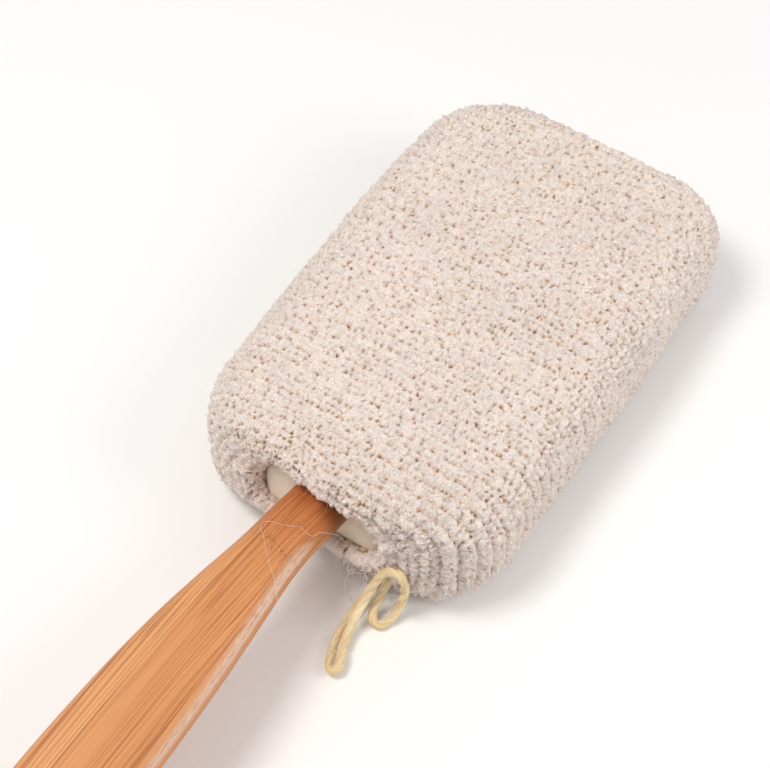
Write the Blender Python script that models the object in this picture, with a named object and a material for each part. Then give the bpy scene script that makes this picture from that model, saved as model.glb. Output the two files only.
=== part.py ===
"""Loofah back scrubber: a bent bamboo handle, a two-layer foam pad glued round its tang,
and a removable knitted cover whose mouth is closed by a twine drawcord.

Frame: +X from the handle's end towards the pad, +Y across the pad, +Z up.
The origin is at the middle of the underside, and the scrubber lies on the plane z = 0.
All lengths are in metres.
"""

import math

import bmesh
import bpy
from mathutils import Vector

GAP = 0.0003                 # clearance between pieces that touch
REACH = 0.5                  # size of a cutter that only has to be larger than the pad
PAD_REACH_Z = 0.06
LARGEST_ROUND = 0.96         # a ring's corners take at most this share of its half sides
COVER_STEPS = (4, 8, 2)      # faces round a corner, along a broad side, along a narrow side
HANDLE_STEPS = (4, 4, 1)
DRAWCORD_STEPS = (5, 12, 4)

# Knitted cover, outside
COVER_NEAR_X = 0.0575        # foremost edge of the mouth's lip
COVER_FAR_X = 0.2180
COVER_HALF_WIDTH = 0.050
COVER_HALF_HEIGHT = 0.019
COVER_MID_Z = 0.019
COVER_THICKNESS = 0.0040
NEAR_CORNER = 0.027          # corner radii seen from above
FAR_CORNER = 0.022
NEAR_EDGE = 0.013            # rounding of the two ends seen from the side
FAR_EDGE = 0.014
SIDE_ROUND = 0.0135          # rounding of the long edges

# Mouth of the cover
MOUTH_HALF_WIDTH = 0.0215
MOUTH_HALF_HEIGHT = 0.0114
MOUTH_ROUND = 0.0100
MOUTH_DRILL = 0.0200         # length of the cutter that opens the mouth
LIP_FLAT = 0.0010            # how far the end's flat part reaches above and below the mouth
MOUTH_LEAN = 0.0030          # the upper lip is set back from the lower one by this much

# Foam pad, which fills the cover up to the space that the drawcord needs, and whose nose
# stands through the drawcord's ring into the mouth
PAD_INSET = 0.0045           # from the cover's outside
PAD_NEAR_X = 0.0692
NOSE_NEAR_X = 0.0598
NOSE_ROOT = 0.0040           # how far the nose reaches back into the pad
NOSE_HALF_WIDTH = 0.0212
NOSE_HALF_HEIGHT = 0.0097
NOSE_ROUND = 0.0078
PAD_JOINT_Z = 0.0125         # glued joint between the thick upper and the thin lower layer
GLUE_RADIUS = 0.0008
GLUE_HALF_WIDTH = 0.0165

# Bamboo handle with its tang. Each row: x, height of the centreline, width, thickness
HANDLE_SHAPE = (
    (0.1700, 0.0190, 0.0060, 0.0050),
    (0.1680, 0.0190, 0.0130, 0.0066),
    (0.1620, 0.0190, 0.0190, 0.0074),
    (0.1500, 0.0190, 0.0205, 0.0078),
    (0.0950, 0.0195, 0.0195, 0.0080),
    (0.0720, 0.0213, 0.0176, 0.0088),
    (0.0600, 0.0238, 0.0176, 0.0094),
    (0.0480, 0.0268, 0.0173, 0.0100),
    (0.0360, 0.0287, 0.0180, 0.0106),
    (0.0200, 0.0302, 0.0214, 0.0114),
    (0.0020, 0.0313, 0.0250, 0.0122),
    (-0.0200, 0.0318, 0.0276, 0.0130),
    (-0.0500, 0.0314, 0.0294, 0.0136),
    (-0.0850, 0.0288, 0.0300, 0.0138),
    (-0.1200, 0.0243, 0.0292, 0.0136),
    (-0.1550, 0.0182, 0.0278, 0.0130),
    (-0.1850, 0.0116, 0.0266, 0.0122),
    (-0.2030, 0.0075, 0.0250, 0.0116),
    (-0.2110, 0.0058, 0.0206, 0.0110),
    (-0.2158, 0.0050, 0.0140, 0.0098),
    (-0.2180, 0.0047, 0.0050, 0.0080),
)
HANDLE_STEP = 0.0065         # largest distance between two sections
HANDLE_ROUND = 0.0042        # rounding of the handle's long edges
HOLE_RADIUS = 0.0045
HOLE_X = -0.2025
HOLE_DRILL = 0.04            # length of the cutter for the hanging hole

# Twine
TWINE = 0.0028               # diameter
CORD_STEP = 0.0019           # distance between the points of the free twine's centreline
DRAWCORD_STEP = 0.0025
CORD_SMOOTHING = 16          # points of the smooth curve for each route point
DRAWCORD_X = 0.0660
DRAWCORD_HALF_WIDTH = 0.0235
DRAWCORD_HALF_HEIGHT = 0.0114
DRAWCORD_ROUND = 0.0060
KNOT_CENTRE = (0.0664, -0.0240, 0.0115)
KNOT_RADIUS = 0.0019
EXIT_HOLES = ((-0.0217, 0.0077), (-0.0252, 0.0101))
EXIT_RADIUS = 0.0018
EXIT_DRILL = 0.012           # length of the cutters for the two exit holes
EXIT_DRILL_X = COVER_NEAR_X + COVER_THICKNESS / 2.0     # middle of the cover's near wall

# Centreline of the free twine: out of the cover's lip, along the table and back as a long
# narrow loop, then up over itself as a round loop that ends in the lip again
TWINE_ROUTE = (
    (0.0630, -0.0217, 0.0077),
    (0.0588, -0.0217, 0.0077),
    (0.0560, -0.0214, 0.0066),
    (0.0530, -0.0208, 0.0048),
    (0.0500, -0.0202, 0.0033),
    (0.0461, -0.0199, 0.0021),
    (0.0411, -0.0202, 0.0016),
    (0.0367, -0.0211, 0.0016),
    (0.0330, -0.0225, 0.0016),
    (0.0303, -0.0238, 0.0017),
    (0.0288, -0.0256, 0.0024),
    (0.0297, -0.0269, 0.0033),
    (0.0322, -0.0262, 0.0037),
    (0.0350, -0.0248, 0.0036),
    (0.0393, -0.0234, 0.0033),
    (0.0422, -0.0228, 0.0039),
    (0.0450, -0.0225, 0.0056),
    (0.0481, -0.0226, 0.0072),
    (0.0508, -0.0228, 0.0092),
    (0.0530, -0.0235, 0.0122),
    (0.0550, -0.0248, 0.0160),
    (0.0558, -0.0271, 0.0189),
    (0.0558, -0.0298, 0.0198),
    (0.0558, -0.0317, 0.0170),
    (0.0558, -0.0317, 0.0110),
    (0.0550, -0.0308, 0.0050),
    (0.0520, -0.0302, 0.0019),
    (0.0493, -0.0292, 0.0016),
    (0.0480, -0.0272, 0.0019),
    (0.0492, -0.0254, 0.0030),
    (0.0516, -0.0249, 0.0040),
    (0.0542, -0.0250, 0.0062),
    (0.0564, -0.0252, 0.0089),
    (0.0588, -0.0252, 0.0101),
    (0.0630, -0.0252, 0.0101),
)

COLOURS = {
    "bamboo": ((0.62, 0.33, 0.14, 1.0), 0.45),
    "foam": ((0.80, 0.72, 0.58, 1.0), 0.90),
    "glue": ((0.45, 0.38, 0.14, 1.0), 0.35),
    "knit": ((0.82, 0.75, 0.66, 1.0), 0.95),
    "twine": ((0.74, 0.58, 0.30, 1.0), 0.80),
}


def clear_scene():
    for obj in list(bpy.data.objects):
        bpy.data.objects.remove(obj, do_unlink=True)


def new_collection(name):
    collection = bpy.data.collections.new(name)
    bpy.context.scene.collection.children.link(collection)
    return collection


def material(name):
    """The Principled material of one kind of stuff, made once."""
    found = bpy.data.materials.get(name)
    if found:
        return found
    colour, roughness = COLOURS[name]
    made = bpy.data.materials.new(name)
    made.use_nodes = True
    shader = made.node_tree.nodes["Principled BSDF"]
    shader.inputs["Base Color"].default_value = colour
    shader.inputs["Roughness"].default_value = roughness
    shader.inputs["Metallic"].default_value = 0.0
    return made


def add_object(name, mesh, collection, stuff):
    obj = bpy.data.objects.new(name, mesh)
    collection.objects.link(obj)
    if stuff:
        mesh.materials.append(material(stuff))
    return obj


def as_cutter(obj):
    obj.hide_render = True
    obj.display_type = "WIRE"
    return obj


def boolean(obj, cutter, operation):
    cut = obj.modifiers.new(cutter.name, "BOOLEAN")
    cut.operation = operation
    cut.solver = "EXACT"
    cut.object = cutter


def arc(centre_a, centre_b, radius, start, steps):
    """A quarter circle of steps + 1 points, anticlockwise from the angle start, in degrees."""
    angles = [math.radians(start + 90.0 * k / steps) for k in range(steps + 1)]
    return [(centre_a + radius * math.cos(t), centre_b + radius * math.sin(t)) for t in angles]


def rounded_rectangle(half_width, half_height, radius, corner_steps, wide_steps, tall_steps):
    """Points (y, z) round a rounded rectangle, always in the same number and order."""
    radius = min(radius, LARGEST_ROUND * half_width, LARGEST_ROUND * half_height)
    inner_y = half_width - radius
    inner_z = half_height - radius
    corners = (
        (inner_y, inner_z, 0.0),
        (-inner_y, inner_z, 90.0),
        (-inner_y, -inner_z, 180.0),
        (inner_y, -inner_z, 270.0),
    )
    arcs = [arc(y, z, radius, start, corner_steps) for y, z, start in corners]
    points = []
    for number, points_of_arc in enumerate(arcs):
        points.extend(points_of_arc)
        last = points_of_arc[-1]
        following = arcs[(number + 1) % len(arcs)][0]
        steps = wide_steps if number % 2 == 0 else tall_steps
        for k in range(1, steps):
            share = k / steps
            points.append(tuple(a + (b - a) * share for a, b in zip(last, following)))
    return points


def loft(name, rings, close_start, close_end):
    """A mesh skin over rings that all have the same number of points."""
    mesh = bpy.data.meshes.new(name)
    shape = bmesh.new()
    layers = [[shape.verts.new(point) for point in ring] for ring in rings]
    count = len(layers[0])
    for before, after in zip(layers, layers[1:]):
        for k in range(count):
            following = (k + 1) % count
            shape.faces.new((before[k], before[following], after[following], after[k]))
    if close_start:
        shape.faces.new(list(reversed(layers[0])))
    if close_end:
        shape.faces.new(layers[-1])
    bmesh.ops.recalc_face_normals(shape, faces=shape.faces)
    shape.to_mesh(mesh)
    shape.free()
    mesh.shade_smooth()
    mesh.set_sharp_from_angle(angle=math.radians(50))
    return mesh


def cap_height(x, inset):
    """Half-height of the cover at x, less inset, with its two ends rounded in the side view."""
    height = COVER_HALF_HEIGHT - inset
    from_near = x - (COVER_NEAR_X + inset)
    from_far = (COVER_FAR_X - inset) - x
    for distance, radius, flat in (
        (from_near, NEAR_EDGE, MOUTH_HALF_HEIGHT + LIP_FLAT - inset),
        (from_far, FAR_EDGE, COVER_HALF_HEIGHT - FAR_EDGE),
    ):
        if distance < radius:
            reach = math.sqrt(max(0.0, 1.0 - (1.0 - max(distance, 0.0) / radius) ** 2))
            height = min(height, flat + (COVER_HALF_HEIGHT - inset - flat) * reach)
    return height


def cover_stations(inset):
    """(x, half-width) along the cover's outline seen from above, moved in by inset."""
    near_x = COVER_NEAR_X + inset
    far_x = COVER_FAR_X - inset
    near_radius = NEAR_CORNER - inset
    far_radius = FAR_CORNER - inset
    half_width = COVER_HALF_WIDTH - inset
    stations = []
    for degrees in (7, 18, 30, 42, 54, 66, 78, 90):
        turn = math.radians(degrees)
        x = near_x + near_radius * (1.0 - math.cos(turn))
        stations.append((x, half_width - near_radius * (1.0 - math.sin(turn))))
    start = near_x + near_radius
    end = far_x - far_radius
    middle_steps = 7
    for k in range(1, middle_steps):
        stations.append((start + (end - start) * k / middle_steps, half_width))
    for degrees in (90, 75, 60, 45, 30, 16, 5):
        turn = math.radians(degrees)
        x = far_x - far_radius * (1.0 - math.cos(turn))
        stations.append((x, half_width - far_radius * (1.0 - math.sin(turn))))
    return stations


def cover_ring(x, half_width, half_height, radius, lean):
    outline = rounded_rectangle(half_width, half_height, radius, *COVER_STEPS)
    return [(x + lean * (z / half_height + 1.0) / 2.0, y, COVER_MID_Z + z) for y, z in outline]


def cover_rings(inset):
    """Rings of the cover's outside, or of what lies inside it when inset is not zero."""
    rings = []
    for x, half_width in cover_stations(inset):
        share = min(1.0, (x - COVER_NEAR_X) / NEAR_CORNER)
        lean = MOUTH_LEAN * (1.0 - share) ** 2
        radius = max(MOUTH_ROUND, SIDE_ROUND - inset)
        rings.append(cover_ring(x, half_width, cap_height(x, inset), radius, lean))
    return rings


def straight_mesh(name, start_x, end_x, half_width, half_height, radius):
    """A straight run of one rounded section along X, with the mouth's lean."""
    size = (half_width, half_height, radius)
    rings = [cover_ring(x, *size, MOUTH_LEAN) for x in (start_x, end_x)]
    return loft(name, rings, True, True)


def build_cover(parts, cutters):
    """The knitted bag: a hollow shell with a slot-shaped mouth and the twine's two exit holes."""
    cover = add_object("knit_cover", loft("knit_cover", cover_rings(0.0), True, True), parts, "knit")
    inside_mesh = loft("cover_inside", cover_rings(COVER_THICKNESS), True, True)
    inside = as_cutter(add_object("cover_inside", inside_mesh, cutters, None))
    boolean(cover, inside, "DIFFERENCE")
    reach = (EXIT_DRILL_X - MOUTH_DRILL / 2.0, EXIT_DRILL_X + MOUTH_DRILL / 2.0)
    size = (MOUTH_HALF_WIDTH, MOUTH_HALF_HEIGHT, MOUTH_ROUND)
    mouth_mesh = straight_mesh("cover_mouth", *reach, *size)
    boolean(cover, as_cutter(add_object("cover_mouth", mouth_mesh, cutters, None)), "DIFFERENCE")
    for number, (y, z) in enumerate(EXIT_HOLES):
        bpy.ops.mesh.primitive_cylinder_add(
            vertices=20,
            radius=EXIT_RADIUS,
            depth=EXIT_DRILL,
            location=(EXIT_DRILL_X, y, z),
            rotation=(0.0, math.pi / 2.0, 0.0),
        )
        drill = bpy.context.object
        drill.name = f"twine_exit_{number + 1}"
        move_to(drill, cutters)
        boolean(cover, as_cutter(drill), "DIFFERENCE")


def move_to(obj, collection):
    for old in list(obj.users_collection):
        old.objects.unlink(obj)
    collection.objects.link(obj)


def lean_at(z):
    """How far the mouth, and what lies behind it, is set back at the height z."""
    return MOUTH_LEAN * (z - COVER_MID_Z + MOUTH_HALF_HEIGHT) / (2.0 * MOUTH_HALF_HEIGHT)


def pad_space(name, low_z, high_z, near_x, collection):
    """A cutter that keeps the pad between two heights and behind a near face that leans."""
    bpy.ops.mesh.primitive_cube_add(size=1.0)
    box = bpy.context.object
    box.name = name
    for corner in box.data.vertices:
        z = high_z if corner.co.z > 0.0 else low_z
        x = REACH if corner.co.x > 0.0 else near_x + lean_at(z)
        corner.co = (x, corner.co.y * REACH, z)
    move_to(box, collection)
    return as_cutter(box)


def build_pad(parts, cutters):
    """Two foam layers cut from one filled shape; the upper one has the tang's pocket."""
    layers = (
        ("foam_pad_upper", PAD_JOINT_Z + GAP / 2.0, PAD_REACH_Z),
        ("foam_pad_lower", -PAD_REACH_Z, PAD_JOINT_Z - GAP / 2.0),
    )
    block = pad_space("pad_block", -PAD_REACH_Z, PAD_REACH_Z, PAD_NEAR_X, cutters)
    nose_reach = (NOSE_NEAR_X, PAD_NEAR_X + NOSE_ROOT)
    nose_mesh = straight_mesh("pad_nose", *nose_reach, NOSE_HALF_WIDTH, NOSE_HALF_HEIGHT, NOSE_ROUND)
    nose = as_cutter(add_object("pad_nose", nose_mesh, cutters, None))
    pocket = as_cutter(add_object("tang_pocket", handle_mesh("tang_pocket", GAP), cutters, None))
    for name, low_z, high_z in layers:
        mesh = loft(name, cover_rings(PAD_INSET), True, True)
        layer = add_object(name, mesh, parts, "foam")
        boolean(layer, block, "INTERSECT")
        boolean(layer, nose, "UNION")
        boolean(layer, pad_space(f"{name}_space", low_z, high_z, 0.0, cutters), "INTERSECT")
        if name == "foam_pad_upper":
            boolean(layer, pocket, "DIFFERENCE")


def smooth_rows(rows, x):
    """The rows' other columns at x, by a cubic through the rows, which run down in x."""
    for k in range(len(rows) - 1):
        if rows[k + 1][0] <= x:
            break
    before, start, end = rows[max(k - 1, 0)], rows[k], rows[k + 1]
    after = rows[min(k + 2, len(rows) - 1)]
    span = end[0] - start[0]
    share = (x - start[0]) / span
    values = []
    for column in range(1, len(start)):
        slope_start = (end[column] - before[column]) / (end[0] - before[0]) * span
        slope_end = (after[column] - start[column]) / (after[0] - start[0]) * span
        rise = end[column] - start[column]
        bend = 2.0 * slope_start + slope_end - 3.0 * rise
        twist = slope_start + slope_end - 2.0 * rise
        value = start[column] + share * (slope_start + share * (share * twist - bend))
        values.append(value)
    return values


def handle_stations():
    """The chosen rows' positions, with more between them where they are far apart."""
    stations = []
    for start, end in zip(HANDLE_SHAPE, HANDLE_SHAPE[1:]):
        steps = max(1, math.ceil((start[0] - end[0]) / HANDLE_STEP))
        stations.extend(start[0] + (end[0] - start[0]) * k / steps for k in range(steps))
    stations.append(HANDLE_SHAPE[-1][0])
    return stations


def handle_mesh(name, growth):
    """The handle's skin, grown outwards by growth, which is zero for the handle itself."""
    rings = []
    for x in handle_stations():
        height, width, thickness = smooth_rows(HANDLE_SHAPE, x)
        half_width = width / 2.0 + growth
        half_thickness = thickness / 2.0 + growth
        radius = HANDLE_ROUND + growth
        outline = rounded_rectangle(half_width, half_thickness, radius, *HANDLE_STEPS)
        rings.append([(x, y, height + z) for y, z in outline])
    if growth:
        rings[0] = [(x + growth, y, z) for x, y, z in rings[0]]
    return loft(name, rings, True, True)


def build_handle(parts, cutters):
    handle = add_object("bamboo_handle", handle_mesh("bamboo_handle", 0.0), parts, "bamboo")
    height = smooth_rows(HANDLE_SHAPE, HOLE_X)[0]
    bpy.ops.mesh.primitive_cylinder_add(
        vertices=32, radius=HOLE_RADIUS, depth=HOLE_DRILL, location=(HOLE_X, 0.0, height)
    )
    drill = bpy.context.object
    drill.name = "hanging_hole"
    move_to(drill, cutters)
    boolean(handle, as_cutter(drill), "DIFFERENCE")


def smooth_route(route):
    """A Catmull-Rom curve through the route's points, with centripetal spacing."""
    points = [Vector(point) for point in route]
    points.insert(0, 2.0 * points[0] - points[1])
    points.append(2.0 * points[-1] - points[-2])
    curve = []
    for a, b, c, d in zip(points, points[1:], points[2:], points[3:]):
        knots = [0.0]
        for first, second in ((a, b), (b, c), (c, d)):
            knots.append(knots[-1] + math.sqrt((second - first).length))
        for k in range(CORD_SMOOTHING):
            t = knots[1] + (knots[2] - knots[1]) * k / CORD_SMOOTHING
            level = [a, b, c, d]
            for width in (1, 2):
                level = [
                    p.lerp(q, (t - knots[i]) / (knots[i + width] - knots[i]))
                    for i, (p, q) in enumerate(zip(level, level[1:]))
                ]
            share = (t - knots[1]) / (knots[2] - knots[1])
            curve.append(level[0].lerp(level[1], share))
    curve.append(points[-2])
    return curve


def evenly(curve, step):
    """Points along the curve at equal distances of about step."""
    lengths = [0.0]
    for first, second in zip(curve, curve[1:]):
        lengths.append(lengths[-1] + (second - first).length)
    count = max(2, round(lengths[-1] / step))
    points = []
    segment = 0
    for k in range(count + 1):
        wanted = lengths[-1] * k / count
        while segment < len(curve) - 2 and lengths[segment + 1] < wanted:
            segment += 1
        share = (wanted - lengths[segment]) / (lengths[segment + 1] - lengths[segment])
        points.append(curve[segment].lerp(curve[segment + 1], min(share, 1.0)))
    return points


def tube(name, points, radius, collection, stuff):
    """A round tube with filled caps along the points."""
    curve = bpy.data.curves.new(name, "CURVE")
    curve.dimensions = "3D"
    curve.bevel_depth = radius
    curve.bevel_resolution = 2
    curve.use_fill_caps = True
    spline = curve.splines.new("POLY")
    spline.points.add(len(points) - 1)
    for slot, point in zip(spline.points, points):
        slot.co = (*point, 1.0)
    return add_object(name, curve, collection, stuff)


def drawcord_route():
    """Round the inside of the lip, from one side of the knot to the other."""
    outline = rounded_rectangle(
        DRAWCORD_HALF_WIDTH, DRAWCORD_HALF_HEIGHT, DRAWCORD_ROUND, *DRAWCORD_STEPS
    )
    loop = []
    for y, z in outline:
        height = COVER_MID_Z + z
        loop.append(Vector((DRAWCORD_X + lean_at(height), y, height)))
    knot = Vector(KNOT_CENTRE)
    nearest = min(range(len(loop)), key=lambda k: (loop[k] - knot).length)
    loop = loop[nearest:] + loop[:nearest]
    clear = KNOT_RADIUS + TWINE / 2.0 + GAP
    return [point for point in loop if (point - knot).length > clear]


def build_twine(parts):
    tube("drawcord", evenly(drawcord_route(), DRAWCORD_STEP), TWINE / 2.0, parts, "twine")
    tube("twine_loops", evenly(smooth_route(TWINE_ROUTE), CORD_STEP), TWINE / 2.0, parts, "twine")
    bpy.ops.mesh.primitive_uv_sphere_add(
        segments=16, ring_count=10, radius=KNOT_RADIUS, location=KNOT_CENTRE
    )
    knot = bpy.context.object
    knot.name = "drawcord_knot"
    knot.data.materials.append(material("twine"))
    knot.data.shade_smooth()
    move_to(knot, parts)


def build_glue(parts):
    """The bead of adhesive squeezed out along the pad's joint at the mouth."""
    x = NOSE_NEAR_X + lean_at(PAD_JOINT_Z - GLUE_RADIUS) - GLUE_RADIUS - GAP
    steps = 12
    points = []
    for k in range(steps + 1):
        y = GLUE_HALF_WIDTH * (2.0 * k / steps - 1.0)
        points.append(Vector((x, y, PAD_JOINT_Z)))
    tube("pad_glue", points, GLUE_RADIUS, parts, "glue")


def main():
    clear_scene()
    parts = new_collection("loofah_back_scrubber")
    cutters = new_collection("cutters")
    build_handle(parts, cutters)
    build_pad(parts, cutters)
    build_glue(parts)
    build_cover(parts, cutters)
    build_twine(parts)


main()
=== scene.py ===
"""Loofah back scrubber: how each piece looks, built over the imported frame.

Frame: +X from the handle's end towards the pad, +Y across the pad, +Z up, in metres.
Every shape is made from the dimensions below. The random numbers have a fixed seed.
"""

import math

import bpy
import numpy as np
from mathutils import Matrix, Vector, kdtree, noise
from numpy.linalg import norm


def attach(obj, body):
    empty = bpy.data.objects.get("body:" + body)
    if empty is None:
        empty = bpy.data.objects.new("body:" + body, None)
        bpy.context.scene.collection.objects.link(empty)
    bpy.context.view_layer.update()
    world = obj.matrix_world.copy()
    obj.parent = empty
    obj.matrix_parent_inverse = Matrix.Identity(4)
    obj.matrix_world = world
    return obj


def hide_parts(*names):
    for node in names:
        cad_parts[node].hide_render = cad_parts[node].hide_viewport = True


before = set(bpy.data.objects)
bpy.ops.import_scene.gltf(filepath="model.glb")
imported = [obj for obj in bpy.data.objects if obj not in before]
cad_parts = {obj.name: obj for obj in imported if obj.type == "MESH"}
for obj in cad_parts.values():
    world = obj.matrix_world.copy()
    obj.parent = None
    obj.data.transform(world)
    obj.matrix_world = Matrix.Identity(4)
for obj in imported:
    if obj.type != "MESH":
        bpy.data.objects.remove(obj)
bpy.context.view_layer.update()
RANDOM = np.random.default_rng(20)
TURN = 2.0 * math.pi


def tenths(*rows):
    """Rows given in tenths of a millimetre, as metres."""
    return tuple(tuple(value / 10000 for value in row) for row in rows)


# Knitted cover
NEAR_X, FAR_X = 0.0575, 0.2180
HALF_WIDTH, HALF_HEIGHT, MID_Z = 0.050, 0.019, 0.019
NEAR_CORNER, FAR_CORNER = 0.027, 0.022
NEAR_EDGE, FAR_EDGE = 0.013, 0.014
SIDE_ROUND = 0.0135
MOUTH_HALF_WIDTH, MOUTH_HALF_HEIGHT, MOUTH_ROUND = 0.0215, 0.0114, 0.0100
MOUTH_LEAN = 0.0006  # the upper lip is set back by this much
MOUTH_RAISE = 0.0018  # the mouth sits this much above the cover's middle
LIP_RISE = 0.0038  # the lower lip stands higher than that by this much
STITCH = 0.00047  # spacing of the surface's points
FLUFF = 0.00014  # fine unevenness of the yarn
FLOOR_GAP = 0.0002  # fibre ends stay this far above the floor

# The hem that is turned in at the mouth: x, half-width, half-height, from the inside out
HEM = tenths(
    (672, 208, 94), (650, 207, 94), (626, 209, 97), (604, 214, 101), (588, 220, 106),
    (580, 225, 111), (576, 231, 117), (575, 238, 124),
)

# Hollows (minus) and swells of the slack bag: height, side, start and end in y, middle and spread in x
SWELLS = (
    (-0.0016, 1.0, 0.030, 0.050, 0.085, 0.020),
    (0.0009, 1.0, 0.030, 0.050, 0.165, 0.035),
    (-0.0012, -1.0, 0.035, 0.050, 0.185, 0.018),
    (-0.0008, 1.0, 0.034, 0.050, 0.070, 0.014),
)
NEAR_SWELL, FAR_HOLLOW = 0.0014, 0.0021  # at the near -Y corner and the far +Y corner
GATHER = 0.0009  # height of the folds that fan out from the mouth
ROLL, ROLL_PITCH = 0.0004, 0.0058  # rolls over the mouth's -Y end
UNEVEN = 0.00035  # slow unevenness all over
EASED_BACK = (0.0024, 0.0, 0.0012)  # the upper lip gives way by this beside the handle

# Yarn: courses of grains with pits between them
ROW_PITCH = 0.0047  # two rows of grains make one course of the knit
COURSE_START = 0.0060  # where the first row of grains lies, along the cover from the hem's foot
GRAIN_PITCH = 0.00175  # spacing of the grains along a row
SKIN = 0.00070  # how far the grains' feet lie below the cover's nominal surface
FLOOR = 0.00032  # lowest height between the grains, above their feet
PIT_RADIUS, PIT_DEPTH = 0.00046, 0.00080
RIB, SLACK_RIB = 0.00010, 0.00032  # height of the ribs, and what the slack corner adds
NUB, NUB_PITCH = 0.00034, 0.0025  # plump nubs along the ribs at the slack corner
PRESSED = 0.0012  # the knit that would sink below the floor is pressed flat within this

# Grains: mean, spread, least and most of the half-length, the half-width and the height
GRAIN_SIZES = (
    (0.00136, 0.00022, 0.0009, 0.0020),
    (0.00100, 0.00013, 0.0006, 0.0014),
    (0.00142, 0.00026, 0.0007, 0.0020),
)
# Fine grains strewn over them: least and most of the same
FINE_SIZES = ((0.00070, 0.00125), (0.00050, 0.00085), (0.00045, 0.00105))

# Foam pad, and the nose that stands through the drawcord's ring
PAD_INSET, PAD_NEAR_X, PAD_JOINT_Z = 0.0045, 0.0692, 0.0125
PAD_LEAN = 0.0030  # set-back of the pad's near face over the mouth's height
PAD_EDGES = 0.0079, 0.005  # half-heights where the near and the far face begin to round
NOSE_NEAR_X, NOSE_HALF_WIDTH, NOSE_HALF_HEIGHT, NOSE_ROUND = 0.0598, 0.0212, 0.0097, 0.0078
NOSE_SWELL = tenths((2, 48), (6, 29), (14, 15), (28, 5), (45, 0), (130, 0))  # depth, inset
GLUE_RADIUS = 0.00024

# Bamboo handle: x, height of the centreline, width, thickness
HANDLE_SHAPE = np.array(tenths(
    (1700, 190, 60, 50), (1680, 190, 130, 66), (1620, 190, 190, 74), (1500, 190, 205, 78),
    (950, 195, 195, 80), (720, 213, 176, 88), (600, 238, 176, 94), (480, 268, 173, 100),
    (360, 287, 180, 106), (200, 302, 214, 114), (20, 313, 250, 122), (-200, 318, 276, 130),
    (-500, 314, 294, 136), (-850, 288, 300, 138), (-1200, 243, 292, 136), (-1550, 182, 278, 130),
    (-1850, 116, 266, 122), (-2030, 75, 250, 116), (-2110, 58, 206, 110), (-2158, 50, 140, 98),
    (-2180, 47, 50, 80),
))
HANDLE_ROUND = 0.0042
CROWN = 0.00018  # rise of the broad faces towards their middle
HOLE_X, HOLE_RADIUS = -0.2025, 0.0045

# Twine
PLY_RADIUS = 0.00086
PLY_OFFSET = 0.00052
LAY_LENGTH = 0.0125  # one full turn of the plies
DRAWCORD_X = 0.0660
DRAWCORD_HALF_WIDTH, DRAWCORD_HALF_HEIGHT, DRAWCORD_ROUND = 0.0235, 0.0114, 0.0060
KNOT_CENTRE = (0.0664, -0.0240, 0.0115)
TWINE_ROUTE = tenths(
    (630, -217, 77), (588, -217, 77), (560, -214, 66), (530, -208, 48), (500, -202, 33),
    (461, -199, 21), (411, -202, 16), (367, -211, 16), (330, -225, 16), (303, -238, 17),
    (288, -256, 24), (297, -269, 33), (322, -262, 37), (350, -248, 36), (393, -234, 33),
    (422, -228, 39), (450, -225, 56), (481, -226, 72), (508, -228, 92), (530, -235, 122),
    (550, -248, 160), (558, -271, 189), (558, -298, 198), (558, -317, 170), (558, -317, 110),
    (550, -308, 50), (520, -302, 19), (493, -292, 16), (480, -272, 19), (492, -254, 30),
    (516, -249, 40), (542, -250, 62), (564, -252, 89), (588, -252, 101), (630, -252, 101),
)


# ---- camera, floor and light

def make_camera():
    data = bpy.data.cameras.new("camera")
    data.lens = 100.0
    data.sensor_width = 36.0
    camera = bpy.data.objects.new("camera", data)
    bpy.context.scene.collection.objects.link(camera)
    azimuth, elevation, distance = math.radians(-56.45), math.radians(53.28), 0.64
    aim = Vector((0.1144, 0.0135, 0.0100))
    back = Vector((
        math.sin(azimuth) * math.cos(elevation),
        -math.cos(azimuth) * math.cos(elevation),
        math.sin(elevation),
    ))
    camera.location = aim + distance * back
    camera.rotation_euler = (math.pi / 2.0 - elevation, 0.0, azimuth)
    bpy.context.scene.camera = camera


def area_light(name, place, target, size, power, colour):
    data = bpy.data.lights.new(name, "AREA")
    data.shape = "DISK"
    data.size = size
    data.energy = power
    data.color = colour
    lamp = bpy.data.objects.new(name, data)
    bpy.context.scene.collection.objects.link(lamp)
    lamp.location = place
    aim = Vector(target) - Vector(place)
    lamp.rotation_euler = aim.to_track_quat("-Z", "Y").to_euler()


def make_studio():
    scene = bpy.context.scene
    scene.view_settings.view_transform = "Standard"
    scene.view_settings.look = "None"
    world = bpy.data.worlds.new("studio")
    scene.world = world
    world.use_nodes = True
    sky = world.node_tree.nodes["Background"]
    sky.inputs["Color"].default_value = (1.0, 0.995, 0.99, 1.0)
    sky.inputs["Strength"].default_value = 0.60
    pad = (0.10, 0.0, 0.02)
    area_light("key", (-0.13, 0.24, 0.82), pad, 0.34, 3.45, (1.0, 0.965, 0.925))
    area_light("fill", (0.28, -0.60, 0.45), pad, 0.45, 1.5, (1.0, 0.985, 0.97))
    reach = 6.0
    corners = [(-reach, -reach, 0.0), (reach, -reach, 0.0), (reach, reach, 0.0), (-reach, reach, 0.0)]
    stuff = Stuff("floor", roughness=0.85, specular=0.2)
    stuff.paint(0.93)
    new_mesh("floor", corners, [(0, 1, 2, 3)], stuff.material, smooth=False)


# ---- materials

def rgba(tone):
    """A grey level or an (r, g, b) colour, made opaque; a socket passes through."""
    if isinstance(tone, float):
        return (tone, tone, tone, 1.0)
    return (*tone, 1.0) if isinstance(tone, tuple) else tone


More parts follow.
